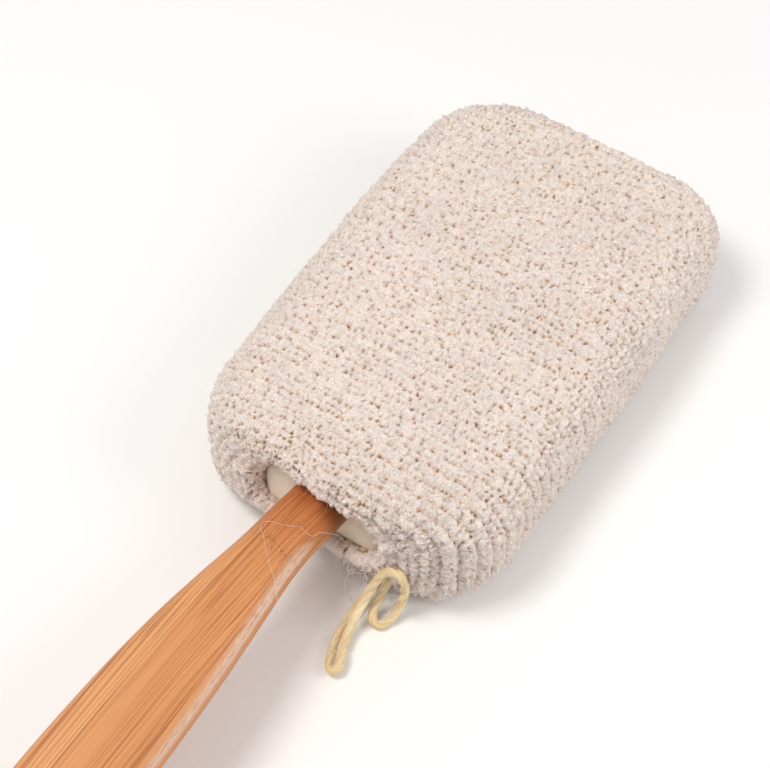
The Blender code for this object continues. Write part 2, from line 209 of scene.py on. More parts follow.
class Stuff:
    """A procedural Principled material and the few node helpers it is made with."""

    def __init__(self, name, roughness, specular, sheen=0.0):
        self.material = bpy.data.materials.new(name)
        self.material.use_nodes = True
        self.tree = self.material.node_tree
        self.shader = self.tree.nodes["Principled BSDF"]
        self.shader.inputs["Roughness"].default_value = roughness
        self.shader.inputs["Specular IOR Level"].default_value = specular
        self.shader.inputs["Sheen Weight"].default_value = sheen
        self.shader.inputs["Sheen Roughness"].default_value = 0.6

    def put(self, socket, value):
        if isinstance(value, bpy.types.NodeSocket):
            self.tree.links.new(value, socket)
        else:
            socket.default_value = value

    def node(self, kind, feeds, **settings):
        made = self.tree.nodes.new(kind)
        for key, value in settings.items():
            setattr(made, key, value)
        for key, value in feeds.items():
            self.put(made.inputs[key], value)
        return made

    def attribute(self, name, output="Fac"):
        return self.node("ShaderNodeAttribute", {}, attribute_name=name).outputs[output]

    def place(self):
        return self.node("ShaderNodeTexCoord", {}).outputs["Object"]

    def noise(self, vector, scale, detail=2.0, rough=0.5):
        feeds = {"Vector": vector, "Scale": scale, "Detail": detail, "Roughness": rough}
        return self.node("ShaderNodeTexNoise", feeds).outputs["Fac"]

    def streaks(self, grain, scales, detail=2.0, rough=0.5):
        """Noise with its own scale along the grain, across it and in depth."""
        scaled = self.node("ShaderNodeVectorMath", {0: grain, 1: scales}, operation="MULTIPLY")
        return self.noise(scaled.outputs[0], 1.0, detail, rough)

    def cells(self, vector, scale, feature="F1"):
        feeds = {"Vector": vector, "Scale": scale}
        return self.node("ShaderNodeTexVoronoi", feeds, feature=feature).outputs["Distance"]

    def ramp(self, factor, *stops):
        made = self.node("ShaderNodeValToRGB", {"Fac": factor})
        steps = made.color_ramp.elements
        while len(steps) < len(stops):
            steps.new(1.0)
        for step, (position, tone) in zip(steps, stops):
            step.position = position
            step.color = rgba(tone)
        return made.outputs["Color"]

    def maths(self, operation, a, b):
        return self.node("ShaderNodeMath", {0: a, 1: b}, operation=operation).outputs[0]

    def times(self, a, b):
        return self.maths("MULTIPLY", a, b)

    def plus(self, a, b):
        return self.maths("ADD", a, b)

    def larger(self, a, b):
        return self.maths("MAXIMUM", a, b)

    def mix(self, share, a, b, blend="MIX"):
        feeds = {0: share, 6: rgba(a), 7: rgba(b)}
        return self.node("ShaderNodeMix", feeds, data_type="RGBA", blend_type=blend).outputs[2]

    def tinted(self, colour, tint):
        return self.mix(1.0, colour, tint, "MULTIPLY")

    def bump(self, height, distance, strength):
        feeds = {"Height": height, "Distance": distance, "Strength": strength}
        made = self.node("ShaderNodeBump", feeds)
        self.put(self.shader.inputs["Normal"], made.outputs["Normal"])

    def paint(self, colour):
        self.put(self.shader.inputs["Base Color"], rgba(colour))


def knit_stuff():
    """Undyed yarn: pale on the grains, and brown down between them, which is painted shade in the pits,
    creases and crevices.
    """
    stuff = Stuff("knit", roughness=0.95, specular=0.10, sheen=0.06)
    place = stuff.place()
    warp = stuff.node("ShaderNodeTexNoise", {"Vector": place, "Scale": 900.0, "Detail": 1.0})
    feeds = {0: warp.outputs["Color"], 1: (0.0007, 0.0007, 0.0007), 2: place}
    bent = stuff.node("ShaderNodeVectorMath", feeds, operation="MULTIPLY_ADD").outputs[0]
    # Crevice lines between the grains: darkened as painted shade, and also cut in by the bump.
    crevices = stuff.ramp(stuff.cells(bent, 980.0, "DISTANCE_TO_EDGE"), (0.0, 1.0), (0.22, 0.0))
    fluff = stuff.noise(place, 1900.0, 3.0, 0.7)
    fine = stuff.times(stuff.maths("SUBTRACT", fluff, 0.5), 0.36)
    # Painted shade: crease, pit and crevice lines push the yarn's colour towards brown; the fine noise
    # adds random tone.
    depth = stuff.times(stuff.attribute("crease"), 0.23)
    depth = stuff.plus(depth, stuff.times(stuff.attribute("pit"), 0.95))
    depth = stuff.plus(depth, stuff.plus(stuff.times(crevices, 0.20), fine))
    yarn = stuff.ramp(
        depth,
        (0.00, (0.98, 0.90, 0.855)),
        (0.22, (0.95, 0.845, 0.785)),
        (0.45, (0.82, 0.665, 0.565)),
        (0.70, (0.56, 0.385, 0.28)),
        (1.00, (0.29, 0.165, 0.10)),
    )
    shade = stuff.ramp(
        stuff.attribute("tint"),
        (0.0, (0.93, 0.91, 0.91)),
        (0.5, (1.00, 0.985, 0.97)),
        (1.0, (1.00, 0.955, 0.90)),
    )
    patch = stuff.ramp(stuff.noise(place, 38.0), (0.35, 0.955), (0.65, 1.0))
    stuff.paint(stuff.tinted(stuff.tinted(yarn, shade), patch))
    stuff.bump(stuff.plus(stuff.times(crevices, -0.8), stuff.times(fluff, 1.2)), 0.00030, 0.85)
    return stuff.material


def bamboo_stuff():
    """Bamboo: long straight fibres, tone bands, a node mark near the neck and a worn shoulder, lightened
    partly by wear and partly by a painted highlight along its rounded edge.
    """
    stuff = Stuff("bamboo", roughness=0.46, specular=0.35)
    grain = stuff.attribute("grain", "Vector")
    neck = stuff.attribute("neck")
    bands = stuff.ramp(
        stuff.streaks(grain, (2.2, 150.0, 90.0)),
        (0.30, (0.62, 0.245, 0.085)),
        (0.50, (0.71, 0.310, 0.118)),
        (0.70, (0.79, 0.385, 0.162)),
    )
    clusters = stuff.ramp(stuff.streaks(grain, (2.6, 330.0, 180.0)), (0.38, 0.35), (0.56, 1.0))
    fibres = stuff.streaks(grain, (4.5, 3000.0, 1800.0), 2.0, 0.6)
    fibres = stuff.times(stuff.ramp(fibres, (0.44, 0.0), (0.60, 1.0)), clusters)
    lines = stuff.streaks(grain, (2.6, 1700.0, 1000.0), 1.0)
    lines = stuff.times(stuff.ramp(lines, (0.575, 0.0), (0.63, 1.0)), clusters)
    edges = stuff.maths("SUBTRACT", stuff.streaks(grain, (2.4, 850.0, 500.0), 0.0), 0.5)
    edges = stuff.ramp(stuff.times(edges, edges), (0.0004, 1.0), (0.0018, 0.0))
    lines = stuff.larger(lines, stuff.times(edges, clusters))
    dashes = stuff.streaks(grain, (60.0, 3000.0, 1800.0), 2.0, 0.6)
    dashes = stuff.ramp(dashes, (0.52, 0.0), (0.64, 1.0))
    dark = stuff.larger(stuff.times(fibres, 0.34), stuff.times(lines, 0.85))
    dark = stuff.larger(dark, stuff.times(dashes, stuff.times(neck, 0.75)))
    speck = stuff.streaks(grain, (700.0, 1300.0, 900.0), 2.0, 0.6)
    speck = stuff.times(stuff.ramp(speck, (0.50, 0.0), (0.58, 1.0)), stuff.attribute("knuckle"))
    # A lighter, broken stripe along the -Y shoulder: partly wear, partly a painted highlight.
    scuff_and_highlight = stuff.streaks(grain, (330.0, 1500.0, 1200.0), 4.0, 0.7)
    scuff_and_highlight = stuff.times(stuff.ramp(scuff_and_highlight, (0.38, 0.40), (0.56, 1.0)), stuff.attribute("wear_and_highlight"))
    colour = bands
    layers = (
        (neck, 0.85, (0.56, 0.175, 0.052)),
        (dark, 0.85, (0.31, 0.078, 0.017)),
        (speck, 0.70, (0.27, 0.070, 0.018)),
        # Painted shade on the handle where the upper lip overhangs it.
        (stuff.attribute("lip_shade"), 0.80, (0.17, 0.055, 0.012)),
        (scuff_and_highlight, 0.80, (0.82, 0.60, 0.47)),
    )
    for share, strength, tone in layers:
        colour = stuff.mix(stuff.times(share, strength), colour, tone)
    stuff.paint(colour)
    stuff.bump(stuff.maths("SUBTRACT", stuff.times(scuff_and_highlight, 0.5), dark), 0.00008, 0.6)
    return stuff.material


def foam_stuff():
    stuff = Stuff("foam", roughness=0.88, specular=0.15, sheen=0.1)
    place = stuff.place()
    tone = stuff.noise(place, 55.0, 3.0, 0.6)
    skin = stuff.ramp(tone, (0.30, (0.74, 0.625, 0.49)), (0.70, (0.83, 0.725, 0.60)))
    cells = stuff.cells(place, 1500.0)
    stuff.paint(stuff.tinted(skin, stuff.ramp(cells, (0.05, 0.80), (0.30, 1.0))))
    stuff.bump(cells, 0.00015, 0.5)
    return stuff.material


def glue_stuff():
    stuff = Stuff("glue", roughness=0.38, specular=0.5)
    tone = stuff.noise(stuff.place(), 420.0, 3.0, 0.6)
    stuff.paint(stuff.ramp(tone, (0.30, (0.52, 0.41, 0.20)), (0.70, (0.68, 0.59, 0.38))))
    stuff.bump(tone, 0.0002, 0.6)
    return stuff.material


def twine_stuff():
    """Twisted plant fibre: pale straw strands, ochre in the folds."""
    stuff = Stuff("twine", roughness=0.72, specular=0.3, sheen=0.15)
    grain = stuff.attribute("grain", "Vector")
    strands = stuff.streaks(grain, (110.0, 2600.0, 2600.0), 3.0, 0.65)
    straw = stuff.ramp(
        strands,
        (0.28, (0.66, 0.48, 0.24)),
        (0.42, (0.81, 0.645, 0.37)),
        (0.60, (0.91, 0.77, 0.505)),
        (0.78, (0.96, 0.875, 0.675)),
    )
    slow = stuff.streaks(grain, (60.0, 300.0, 300.0))
    patch = stuff.ramp(slow, (0.35, (0.90, 0.85, 0.76)), (0.60, 1.0))
    stuff.paint(stuff.tinted(straw, patch))
    stuff.bump(strands, 0.00022, 0.9)
    return stuff.material


def thread_stuff():
    stuff = Stuff("thread", roughness=0.6, specular=0.3, sheen=0.2)
    tone = stuff.noise(stuff.place(), 300.0)
    stuff.paint(stuff.ramp(tone, (0.3, (0.80, 0.72, 0.64)), (0.7, (0.93, 0.90, 0.87))))
    return stuff.material


# ---- mesh helpers

def new_mesh(name, points, faces, stuff, smooth=True):
    mesh = bpy.data.meshes.new(name)
    mesh.from_pydata([tuple(point) for point in points], [], [tuple(face) for face in faces])
    mesh.validate()
    if smooth:
        mesh.shade_smooth()
    mesh.materials.append(stuff)
    made = bpy.data.objects.new(name, mesh)
    bpy.context.scene.collection.objects.link(made)
    return made


def store(made, name, values):
    """Keeps a value, or a vector, for each point of the mesh."""
    values = np.asarray(values, dtype=np.float32)
    kind = "FLOAT_VECTOR" if values.ndim == 2 else "FLOAT"
    layer = made.data.attributes.new(name, kind, "POINT")
    layer.data.foreach_set("vector" if values.ndim == 2 else "value", values.ravel())


def grid_faces(rows, columns, closed):
    """Quads over a grid of points kept row by row; closed joins the last column to the first."""
    across = columns if closed else columns - 1
    row, column = np.meshgrid(np.arange(rows - 1), np.arange(across), indexing="ij")
    following = (column + 1) % columns
    a, b = row * columns + column, row * columns + following
    return np.stack([a, b, b + columns, a + columns], axis=-1).reshape(-1, 4)


def tube_faces(rows, columns, first=0):
    """Quads round a stack of rings and a cap on each end, for points numbered from first."""
    last = first + (rows - 1) * columns
    faces = (grid_faces(rows, columns, True) + first).tolist()
    faces.append(list(range(first + columns - 1, first - 1, -1)))
    faces.append(list(range(last, last + columns)))
    return faces


def unit(vectors):
    length = norm(vectors, axis=-1, keepdims=True)
    return vectors / np.maximum(length, 1e-12)


def tapered(x, start, end):
    """0 before start, 1 after end, with a smooth rise between them."""
    share = np.clip((x - start) / (end - start), 0.0, 1.0)
    return share * share * (3.0 - 2.0 * share)


def bell(x, middle, spread):
    """1 at the middle, falling to nothing on both sides of it."""
    return np.exp(-(((x - middle) / spread) ** 2))


def summed(lengths):
    """0, and then the running total of the lengths."""
    return np.concatenate([[0.0], np.cumsum(lengths)])


def run_of(points):
    """How far along the line each of its points lies."""
    return summed(norm(np.diff(points, axis=0), axis=1))


def spaced(rows, path, count):
    """The rows read at count equal steps of the path."""
    wanted = np.linspace(0.0, path[-1], count)
    return np.stack([np.interp(wanted, path, rows[:, k]) for k in range(3)], axis=1)


def resample(points, step):
    """Points along the line at equal distances of about step."""
    points = np.asarray(points, dtype=float)
    path = run_of(points)
    return spaced(points, path, max(3, round(path[-1] / step) + 1))


def smooth_route(route, steps=16):
    """A Catmull-Rom curve through the route's points, with centripetal spacing."""
    points = [Vector(point) for point in route]
    points.insert(0, 2.0 * points[0] - points[1])
    points.append(2.0 * points[-1] - points[-2])
    curve = []
    for a, b, c, d in zip(points, points[1:], points[2:], points[3:]):
        knots = [0.0]
        for first, second in ((a, b), (b, c), (c, d)):
            knots.append(knots[-1] + math.sqrt((second - first).length))
        for k in range(steps):
            t = knots[1] + (knots[2] - knots[1]) * k / steps
            level = [a, b, c, d]
            for width in (1, 2):
                level = [
                    p.lerp(q, (t - knots[i]) / (knots[i + width] - knots[i]))
                    for i, (p, q) in enumerate(zip(level, level[1:]))
                ]
            curve.append(level[0].lerp(level[1], (t - knots[1]) / (knots[2] - knots[1])))
    curve.append(points[-2])
    return [tuple(point) for point in curve]


def carried_frames(points):
    """(normals, binormals) along a line, carried on without twisting."""
    tangents = unit(np.gradient(points, axis=0))
    normals = np.zeros_like(points)
    start = np.cross(tangents[0], (0.0, 0.0, 1.0))
    if norm(start) < 0.1:
        start = np.cross(tangents[0], (0.0, 1.0, 0.0))
    normals[0] = start / norm(start)
    for k in range(1, len(points)):
        moved = normals[k - 1] - np.dot(normals[k - 1], tangents[k]) * tangents[k]
        normals[k] = moved / norm(moved)
    return normals, np.cross(tangents, normals)


def tubes(name, strands, sides, stuff):
    """One mesh of closed round tubes. Each strand is (points, radii)."""
    points, faces, grain = [], [], []
    turn = np.linspace(0.0, TURN, sides, endpoint=False)
    cos, sin = np.cos(turn), np.sin(turn)
    first = 0
    for number, (line, radii) in enumerate(strands):
        line = np.asarray(line, dtype=float)
        radii = np.broadcast_to(np.asarray(radii, dtype=float), (len(line),))[:, None]
        normals, binormals = carried_frames(line)
        ring = cos[None, :, None] * normals[:, None] + sin[None, :, None] * binormals[:, None]
        points.append((line[:, None] + radii[..., None] * ring).reshape(-1, 3))
        local = np.zeros((len(line), sides, 3))
        local[..., 0] = run_of(line)[:, None] + 0.37 * number      # no two strands share a grain
        local[..., 1] = radii * cos + 0.01 * number
        local[..., 2] = radii * sin
        grain.append(local.reshape(-1, 3))
        faces.extend(tube_faces(len(line), sides, first))
        first += len(line) * sides
    made = new_mesh(name, np.concatenate(points), faces, stuff)
    store(made, "grain", np.concatenate(grain))
    return made


# ---- knitted cover

def rounding(distance, radius):
    """Height of a quarter-round edge, from 0 to 1, at a distance in from its tip."""
    return np.sqrt(np.clip(1.0 - (1.0 - np.clip(distance, 0.0, radius) / radius) ** 2, 0.0, 1.0))


def corner_arc(end_x, way, radius, half_width, turn):
    """(x, half-width) round a corner seen from above; way is 1 at the near end, -1 at the far end."""
    x = end_x + way * radius * (1.0 - np.cos(turn))
    return np.column_stack([x, half_width - radius * (1.0 - np.sin(turn))])


def cap_height(x):
    """Half-height of the cover at x, with its two ends rounded in the side view."""
    height = np.full_like(x, HALF_HEIGHT)
    ends = (
        (x - NEAR_X, NEAR_EDGE, MOUTH_HALF_HEIGHT + 0.001),
        (FAR_X - x, FAR_EDGE, HALF_HEIGHT - FAR_EDGE),
    )
    for distance, radius, flat in ends:
        height = np.minimum(height, flat + (HALF_HEIGHT - flat) * rounding(distance, radius))
    return height


def cover_profile():
    """Rows from inside the hem, over the cover, to the far seam.

    Each is (x, half-width, half-height, lean of the upper lip, lift, rise of the lower lip).
    """
    near = corner_arc(NEAR_X, 1.0, NEAR_CORNER, HALF_WIDTH, np.radians(np.linspace(4.5, 90.0, 160)))
    far = corner_arc(FAR_X, -1.0, FAR_CORNER, HALF_WIDTH, np.radians(np.linspace(90.0, 4.0, 160)))
    straight = np.linspace(near[-1, 0], far[0, 0], 200)[1:-1]
    middle = np.column_stack([straight, np.full_like(straight, HALF_WIDTH)])
    plan = np.concatenate([near, middle, far])
    body = np.column_stack([plan, cap_height(plan[:, 0])])
    shut = np.linspace(1.0, 0.0, 24)[1:]
    end = np.stack([
        np.full_like(shut, FAR_X) - 0.0004 - 0.0016 * (1.0 - shut) ** 3,
        body[-1, 1] - 0.004 * (1.0 - shut),
        np.maximum(body[-1, 2] * np.sqrt(shut) * shut ** 0.3, 1e-5),
    ], axis=1)
    rows = np.concatenate([np.array(HEM), body, end])
    steps = np.abs(np.diff(rows, axis=0))
    path = summed(np.hypot(steps[:, 0], 0.5 * (steps[:, 1] + steps[:, 2])))
    rows = spaced(rows, path, round(path[-1] / STITCH) + 1)
    left = 1.0 - np.clip((rows[:, 0] - NEAR_X) / NEAR_CORNER, 0.0, 1.0)
    return np.column_stack([rows, MOUTH_LEAN * left ** 2, MOUTH_RAISE * left ** 3, LIP_RISE * left ** 6])


def half_ring(half_width, half_height, radius, share):
    """(y, z) at shares of the way over the upper half of a rounded rectangle, from +y to -y."""
    rise, flat = half_height - radius, half_width - radius
    quarter = 0.5 * math.pi * radius
    half = rise + quarter + flat
    along = share * 2.0 * half
    side = np.where(along <= half, 1.0, -1.0)
    along = np.minimum(along, 2.0 * half - along)
    turn = np.clip((along - rise) / np.maximum(radius, 1e-9), 0.0, 0.5 * math.pi)
    y = flat + radius * np.cos(turn) - np.clip(along - rise - quarter, 0.0, None)
    z = np.minimum(along, rise) + radius * np.sin(turn)
    return side * y, z


def cover_surface():
    """The cover's smooth nominal surface: a grid of rings, upper half first, and its normals."""
    profile = cover_profile()
    upper_steps, lower_steps = 324, 162
    x, half_width, half_height, lean, lift, rise = (profile[:, k, None] for k in range(6))
    widest = np.maximum(MOUTH_ROUND, SIDE_ROUND * tapered(x, NEAR_X, NEAR_X + 0.01))
    rings = []
    for steps, sign in ((upper_steps, 1.0), (lower_steps, -1.0)):
        share = np.arange(steps)[None, :] / steps
        height = half_height if sign > 0.0 else half_height - rise
        radius = np.minimum(widest, 0.96 * height)
        y, z = half_ring(half_width, height, radius, share)
        ring_x = x + lean * (sign * z / height + 1.0) / 2.0
        rings.append(np.stack([ring_x, sign * y, MID_Z + lift + sign * z], axis=-1))
    grid = settle(np.concatenate(rings, axis=1))
    along = np.gradient(grid, axis=0)
    around = np.roll(grid, -1, axis=1) - np.roll(grid, 1, axis=1)
    normals = unit(np.cross(along, around))
    outward = np.sum(normals * (grid - np.array((0.13, 0.0, MID_Z))), axis=-1)
    if outward[len(grid) // 2].mean() < 0.0:
        normals = -normals
    normals[-4:] = unit(normals[-4:] + np.array((1.5, 0.0, 0.0)))
    return grid, normals, unit(along), unit(around), upper_steps


def settle(grid):
    """The bag's own unevenness: slack corners, gathers round the mouth, a soft hollow and swell."""
    x, y, z = (grid[..., k] for k in range(3))
    above = z - MID_Z
    middle = np.stack([np.clip(x, 0.075, 0.200), 0.55 * y, np.full_like(z, MID_Z)], axis=-1)
    outward = unit(grid - middle)
    push = NEAR_SWELL * (1.0 - tapered(x, NEAR_X, NEAR_X + 0.026)) * tapered(-y, 0.022, 0.046)
    for height, side, start, end, centre, spread in SWELLS:
        push += height * tapered(side * y, start, end) * bell(x, centre, spread)
    push -= FAR_HOLLOW * tapered(y, 0.020, 0.042) * tapered(x, 0.190, 0.210)
    across = np.hypot(y / MOUTH_HALF_WIDTH, above / MOUTH_HALF_HEIGHT)
    turn = np.arctan2(above / MOUTH_HALF_HEIGHT, y / MOUTH_HALF_WIDTH)
    folds = np.sin(17.0 * turn + 1.3 * np.sin(3.0 * turn)) * (0.6 + 0.4 * np.sin(5.0 * turn + 1.0))
    push += GATHER * folds * bell(across, 1.25, 0.42) * (1.0 - tapered(x, 0.060, 0.078))
    rolls = np.sin(np.hypot(x - 0.056, y + 0.004) / ROLL_PITCH * TURN)
    push += ROLL * rolls * tapered(-y, 0.008, 0.02) * (1.0 - tapered(x, 0.064, 0.080)) * (z > MID_Z)
    slow = np.sin(61.0 * x + 34.0 * y) * np.sin(47.0 * y - 29.0 * x + 1.2)
    push += UNEVEN * slow * tapered(x, 0.062, 0.080)
    eased = bell(y, 0.0125, 0.0095) * tapered(above, 0.002, 0.009) * (1.0 - tapered(x, 0.059, 0.076))
    return grid + push[..., None] * outward + eased[..., None] * np.array(EASED_BACK)


def lay_grains(grid, normals, along, around):
    """The yarn's grains (centres, axes, sizes) in courses across the cover, and the pits between."""
    path = summed(norm(np.diff(grid, axis=0), axis=-1).mean(axis=1))
    columns = grid.shape[1]
    grains, pits = [], []
    course, position = 0, COURSE_START
    while position < path[-1] - 0.0006:
        odd = course % 2
        row = int(np.searchsorted(path, position))
        ring = grid[row]
        round_it = summed(norm(np.roll(ring, -1, axis=0) - ring, axis=1))
        gathered = 1.0 - tapered(position, 0.012, 0.040)
        count = max(8, round(round_it[-1] / (GRAIN_PITCH * (1.0 - 0.16 * gathered))))
        spots = (np.arange(count) + 0.5 * odd + RANDOM.normal(0.0, 0.13, count)) / count
        spots = (spots % 1.0) * round_it[-1]
        index = np.clip(np.searchsorted(round_it, spots) - 1, 0, columns - 1)
        here = ring[index]
        flat, wide = along[row][index], around[row][index]
        order = 1.0 - 0.62 * tapered(here[:, 0] + 0.9 * here[:, 1], 0.105, 0.165)
        shift = RANDOM.normal(0.0, 1.0, (count, 2)) * (0.00046 - 0.00026 * order)[:, None]
        here = here + shift[:, :1] * flat + shift[:, 1:] * wide
        tilt = (0.50 if odd else -0.50) * order
        tilt = (tilt + RANDOM.normal(0.0, 1.0, count) * (1.05 - 0.75 * order))[:, None]
        long_axis = np.cos(tilt) * flat + np.sin(tilt) * wide
        wide_axis = -np.sin(tilt) * flat + np.cos(tilt) * wide
        plump = 0.84 + 0.22 * order + 0.22 * (1.0 - tapered(position, 0.008, 0.020))
        drawn = [
            plump * RANDOM.normal(mean, spread, count).clip(least, most)
            for mean, spread, least, most in GRAIN_SIZES
        ]
        sizes = np.column_stack([*drawn, RANDOM.random(count)])
        grains.append((here, long_axis, wide_axis, normals[row][index], sizes))
        step = ROW_PITCH * (0.56 if odd else 0.44)
        groove = 0.5 * step * flat + (0.5 * round_it[-1] / count) * wide
        stray = RANDOM.normal(0.0, 1.0, (count, 2)) * (0.00062 - 0.00038 * order)[:, None]
        chance = 0.80 + 0.18 * order if odd else 0.74
        weight = RANDOM.uniform(0.25, 1.05, count) * (RANDOM.random(count) < chance)
        weight *= 0.80 + 0.20 * order * odd
        holes = here + groove + stray[:, :1] * flat + stray[:, 1:] * wide
        pits.append(np.column_stack([holes, weight])[weight > 0.0])
        position += step
        course += 1
    laid = sum(len(row[0]) for row in grains)
    rows = np.arange(4, len(grid) - 3)
    girth = norm(np.roll(grid, -1, axis=1) - grid, axis=-1).sum(axis=1)[rows]
    row = RANDOM.choice(rows, 2 * laid, p=girth / girth.sum())
    column = RANDOM.integers(0, columns, len(row))
    turn = RANDOM.uniform(0.0, math.pi, len(row))[:, None]
    flat, wide = along[row, column], around[row, column]
    long_axis = np.cos(turn) * flat + np.sin(turn) * wide
    wide_axis = np.cos(turn) * wide - np.sin(turn) * flat
    drawn = [RANDOM.uniform(least, most, len(row)) for least, most in FINE_SIZES]
    sizes = np.column_stack([*drawn, RANDOM.random(len(row))])
    grains.append((grid[row, column], long_axis, wide_axis, normals[row, column], sizes))
    return tuple(np.concatenate(part) for part in zip(*grains)), np.concatenate(pits)


def tree_of(points):
    tree = kdtree.KDTree(len(points))
    for number, point in enumerate(points):
        tree.insert(point, number)
    tree.balance()
    return tree


def raise_grains(points, grains):
    """For each point: the height of the grains over it, how creased it is (creases and low ground
    between grains take painted shade) and its grain's tone.
    """
    centres, long_axes, wide_axes, _, sizes = grains
    tree = tree_of(centres)
    nearest = 14
    index = np.array([[found[1] for found in tree.find_n(point, nearest)] for point in points])
    offset = points[:, None, :] - centres[index]
    lengthwise = np.sum(offset * long_axes[index], axis=-1) / sizes[index, 0]
    sideways = np.sum(offset * wide_axes[index], axis=-1) / sizes[index, 1]
    inside = np.clip(1.0 - lengthwise ** 2 - sideways ** 2, 0.0, 1.0)
    heights = sizes[index, 2] * np.sqrt(inside)
    best = heights.argmax(axis=1)[:, None]
    height = np.take_along_axis(heights, best, axis=1)[:, 0]
    owner = np.take_along_axis(index, best, axis=1)[:, 0]
    ordered = np.sort(heights, axis=1)
    crease = np.exp(-(ordered[:, -1] - ordered[:, -2]) / 0.00010)
    # Low ground between the grains counts as creased, so it takes painted shade.
    low = np.clip(1.0 - height / FLOOR, 0.0, 1.0)
    return np.maximum(height, FLOOR), np.maximum(crease, low), sizes[owner, 3]


def sink_pits(points, pits, ragged):
    """How far each point lies in one of the pits between the grains, from 0 to 1: the pits are sunk, and
    painted dark as painted shade.
    """
    tree = tree_of(pits[:, :3])
    nearest = 2
    found = [tree.find_n(point, nearest) for point in points]
    index = np.array([[pit[1] for pit in row] for row in found])
    away = np.array([[pit[2] for pit in row] for row in found])
    away = away * (1.0 + 0.9 * ragged)[:, None]
    return (pits[index, 3] * bell(away, 0.0, PIT_RADIUS)).max(axis=1)


def build_cover(stuff):
    grid, normals, along, around, upper_steps = cover_surface()
    grains, pits = lay_grains(grid, normals, along, around)
    rows, columns = grid.shape[:2]
    flat_points = grid.reshape(-1, 3)
    height, crease, tint = raise_grains(flat_points, grains)
    fluff = np.array([noise.noise(Vector(point) * 1450.0) for point in flat_points])
    pit = sink_pits(flat_points, pits, fluff)
    lift = (height - SKIN - PIT_DEPTH * pit + FLUFF * fluff).reshape(rows, columns)
    path = np.cumsum(norm(np.diff(grid, axis=0, prepend=grid[:1]), axis=-1).mean(axis=1))
    past_hem = tapered(path, 0.008, 0.014)[:, None]
    courses = (path - COURSE_START) / ROW_PITCH
    course = np.cos(TURN * (courses - 0.22))[:, None]
    corner = 1.0 - tapered(grid[..., 0] + 0.9 * grid[..., 1], 0.020, 0.085)
    hooped = norm(grid - np.roll(grid, 1, axis=1), axis=-1).cumsum(axis=1)
    number = np.floor(courses + 0.28)[:, None]
    nubs = np.cos(TURN * hooped / NUB_PITCH + 2.1 * number + 0.9 * np.sin(420.0 * hooped))
    lift += ((RIB + SLACK_RIB * corner) * course + NUB * corner * nubs) * past_hem
    # Painted shade in the lows of the ribs at the slack corner, added to the crease; near the far seam
    # the painted shade of creases and pits is weaker.
    groove = (0.70 * corner * np.clip(-course, 0.0, 1.0) * past_hem).ravel()
    clean_seam = 0.35 + 0.65 * tapered(path[-1] - path, 0.001, 0.004).repeat(columns)
    crease, pit = clean_seam * np.maximum(crease, groove), clean_seam * pit
    points = grid + lift[..., None] * normals
    level = points[..., 2]
    points[..., 2] = np.where(level < PRESSED, PRESSED * np.exp((level - PRESSED) / PRESSED), level)
    layers = {"pit": pit, "crease": crease, "tint": tint}
    layers = {name: layer.reshape(rows, columns) for name, layer in layers.items()}
    over = np.arange(0, upper_steps + 1)
    under = np.arange(upper_steps, columns + 1) % columns
    middle = rows // 2
    parts = (
        ("knit_cover_near", np.arange(0, middle + 1), over),
        ("knit_cover_far", np.arange(middle, rows), over),
        ("knit_cover_under", np.arange(0, rows), under),
    )
    made = []
    for name, down, across in parts:
        chosen = np.ix_(down, across)
        faces = grid_faces(len(down), len(across), False)
        piece = new_mesh(name, points[chosen].reshape(-1, 3), faces, stuff)
        for layer, values in layers.items():
            store(piece, layer, values[chosen].ravel())
        made.append(piece)
    return made, grains


def build_fuzz(grains, stuff):
    """Fibre ends that stand out of the knit."""
    centres, long_axes, wide_axes, up_axes, sizes = grains
    chosen = RANDOM.choice(len(centres), 1500, replace=False)
    strands = []
    for number in chosen:
        if centres[number][2] < 0.004 or centres[number][0] < 0.0580:
            continue
        length = RANDOM.uniform(0.0012, 0.0030)
        lean = RANDOM.normal(0.0, 0.9, 2)
        start = centres[number] + (sizes[number, 2] - SKIN - 0.0002) * up_axes[number]
        way = unit(up_axes[number] + lean[0] * long_axes[number] + lean[1] * wide_axes[number])
        curl = unit(RANDOM.normal(0.0, 1.0, 3))
        share = np.linspace(0.0, 1.0, 5)[:, None]
        line = start + share * length * way + share ** 2 * length * 0.5 * curl
        line[:, 2] = np.maximum(line[:, 2], FLOOR_GAP)
        strands.append((line, 0.000045 * (1.0 - 0.6 * share[:, 0])))
    return tubes("knit_fuzz", strands, 3, stuff)


# ---- handle

def handle_at(x):
    """(height, width, thickness) of the handle at x, by a cubic through its rows."""
    rows = HANDLE_SHAPE
    k = int(np.argmax(rows[1:, 0] <= x))
    before, start, end, after = rows[[max(k - 1, 0), k, k + 1, min(k + 2, len(rows) - 1)]]
    span = end[0] - start[0]
    share = (x - start[0]) / span
    slope_start = (end - before) / (end[0] - before[0]) * span
    slope_end = (after - start) / (after[0] - start[0]) * span
    rise = end - start
    bend = 2.0 * slope_start + slope_end - 3.0 * rise
    twist = slope_start + slope_end - 2.0 * rise
    return (start + share * (slope_start + share * (share * twist - bend)))[1:]


